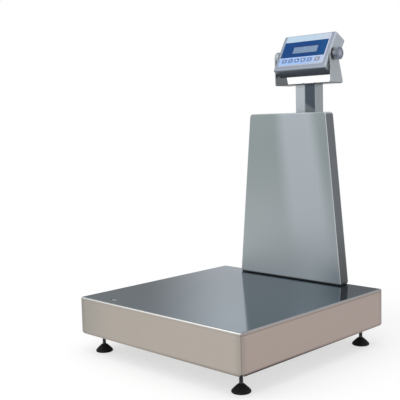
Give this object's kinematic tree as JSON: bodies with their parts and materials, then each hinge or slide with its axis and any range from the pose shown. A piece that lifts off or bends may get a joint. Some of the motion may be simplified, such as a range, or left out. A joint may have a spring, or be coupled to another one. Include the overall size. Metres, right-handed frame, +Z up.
{
  "type": "platform scale",
  "caption": "Stainless platform scale with a deep pan on levelling feet, a tapered rear guard, a post and a tilting indicator with display and keys in a yoke.",
  "frame": {"origin": "on the floor, under the middle of the scale's whole width and depth", "axes": "+Z up, +Y towards the post, +X to the right of someone reading the display"},
  "size_m": [0.6, 0.73, 0.8979],
  "materials": {
    "stainless_pan": "polished stainless sheet, brushed on the skirts",
    "stainless": "satin brushed stainless sheet",
    "galvanised": "galvanised tube",
    "aluminium": "machined aluminium",
    "zinc": "zinc-plated steel",
    "rubber": "black rubber",
    "plastic_black": "black plastic",
    "plastic_grey": "dark grey plastic",
    "overlay_film": "printed film, blue and pale",
    "key_film": "printed film keys",
    "display_glass": "clear window over a pale display",
    "board": "circuit board",
    "vial": "clear level vial"
  },
  "bodies": {
    "base": {"post": "stainless", "guard_shell": "stainless", "guard_cover": "stainless", "guard_bracket_lower": "stainless", "guard_bracket_upper": "stainless", "yoke": "stainless", "base_rail_left": "stainless", "base_rail_right": "stainless", "base_cross_front": "stainless", "base_cross_rear": "stainless", "base_beam_centre": "stainless", "post_arm": "stainless", "load_cell": "aluminium", "level_holder": "aluminium", "load_cell_spacer_lower": "zinc", "overload_stop_front_left": "zinc", "overload_stop_front_right": "zinc", "overload_stop_rear_left": "zinc", "overload_stop_rear_right": "zinc", "lock_nut_front_left": "zinc", "lock_nut_front_right": "zinc", "lock_nut_rear_left": "zinc", "lock_nut_rear_right": "zinc", "level_vial": "vial"},
    "platform": {"pan": "stainless_pan", "top_beam_centre": "galvanised", "top_arm_front": "galvanised", "top_arm_rear": "galvanised", "load_cell_spacer_upper": "zinc", "pan_pad_front_left": "rubber", "pan_pad_front_right": "rubber", "pan_pad_rear_left": "rubber", "pan_pad_rear_right": "rubber"},
    "indicator": {"housing_front": "stainless", "housing_back": "stainless", "overlay": "overlay_film", "display_window": "display_glass", "display_module": "plastic_grey", "circuit_board": "board", "spacer_disc_left": "plastic_black", "spacer_disc_right": "plastic_black", "gland_load_cell": "plastic_black", "gland_power": "plastic_black"},
    "foot_front_left": {"foot_pad_front_left": "rubber", "foot_stem_front_left": "zinc"},
    "foot_front_right": {"foot_pad_front_right": "rubber", "foot_stem_front_right": "zinc"},
    "foot_rear_left": {"foot_pad_rear_left": "rubber", "foot_stem_rear_left": "zinc"},
    "foot_rear_right": {"foot_pad_rear_right": "rubber", "foot_stem_rear_right": "zinc"},
    "knob_left": {"knob_left": "plastic_grey"},
    "knob_right": {"knob_right": "plastic_grey"},
    "key_1": {"key_1": "key_film"},
    "key_2": {"key_2": "key_film"},
    "key_3": {"key_3": "key_film"},
    "key_4": {"key_4": "key_film"},
    "key_5": {"key_5": "key_film"},
    "key_6": {"key_6": "key_film"}
  },
  "joints": [
    {"name": "platform_settle", "type": "slide", "parent": "base", "child": "platform", "axis": [0, 0, 1], "range_m": [-0.0005, 0], "stiffness_N_per_m": 1500000, "springref_m": 0.0001},
    {"name": "foot_height_front_left", "type": "slide", "parent": "base", "child": "foot_front_left", "axis": [0, 0, 1], "range_m": [-0.01, 0.012]},
    {"name": "foot_height_front_right", "type": "slide", "parent": "base", "child": "foot_front_right", "axis": [0, 0, 1], "range_m": [-0.01, 0.012]},
    {"name": "foot_height_rear_left", "type": "slide", "parent": "base", "child": "foot_rear_left", "axis": [0, 0, 1], "range_m": [-0.01, 0.012]},
    {"name": "foot_height_rear_right", "type": "slide", "parent": "base", "child": "foot_rear_right", "axis": [0, 0, 1], "range_m": [-0.01, 0.012]},
    {"name": "indicator_tilt", "type": "hinge", "parent": "base", "child": "indicator", "pos_m": [0, 0.2923, 0.8307], "axis": [1, 0, 0], "range_deg": [-45, 60]},
    {"name": "knob_turn_left", "type": "hinge", "parent": "indicator", "child": "knob_left", "pos_m": [0, 0.2923, 0.8307], "axis": [1, 0, 0], "continuous": true},
    {"name": "knob_turn_right", "type": "hinge", "parent": "indicator", "child": "knob_right", "pos_m": [0, 0.2923, 0.8307], "axis": [1, 0, 0], "continuous": true},
    {"name": "key_press_1", "type": "slide", "parent": "indicator", "child": "key_1", "axis": [0, 0.8634, -0.5045], "range_m": [0, 0.0005], "stiffness_N_per_m": 500, "springref_m": -0.001},
    {"name": "key_press_2", "type": "slide", "parent": "indicator", "child": "key_2", "axis": [0, 0.8634, -0.5045], "range_m": [0, 0.0005], "stiffness_N_per_m": 500, "springref_m": -0.001},
    {"name": "key_press_3", "type": "slide", "parent": "indicator", "child": "key_3", "axis": [0, 0.8634, -0.5045], "range_m": [0, 0.0005], "stiffness_N_per_m": 500, "springref_m": -0.001},
    {"name": "key_press_4", "type": "slide", "parent": "indicator", "child": "key_4", "axis": [0, 0.8634, -0.5045], "range_m": [0, 0.0005], "stiffness_N_per_m": 500, "springref_m": -0.001},
    {"name": "key_press_5", "type": "slide", "parent": "indicator", "child": "key_5", "axis": [0, 0.8634, -0.5045], "range_m": [0, 0.0005], "stiffness_N_per_m": 500, "springref_m": -0.001},
    {"name": "key_press_6", "type": "slide", "parent": "indicator", "child": "key_6", "axis": [0, 0.8634, -0.5045], "range_m": [0, 0.0005], "stiffness_N_per_m": 500, "springref_m": -0.001}
  ]
}
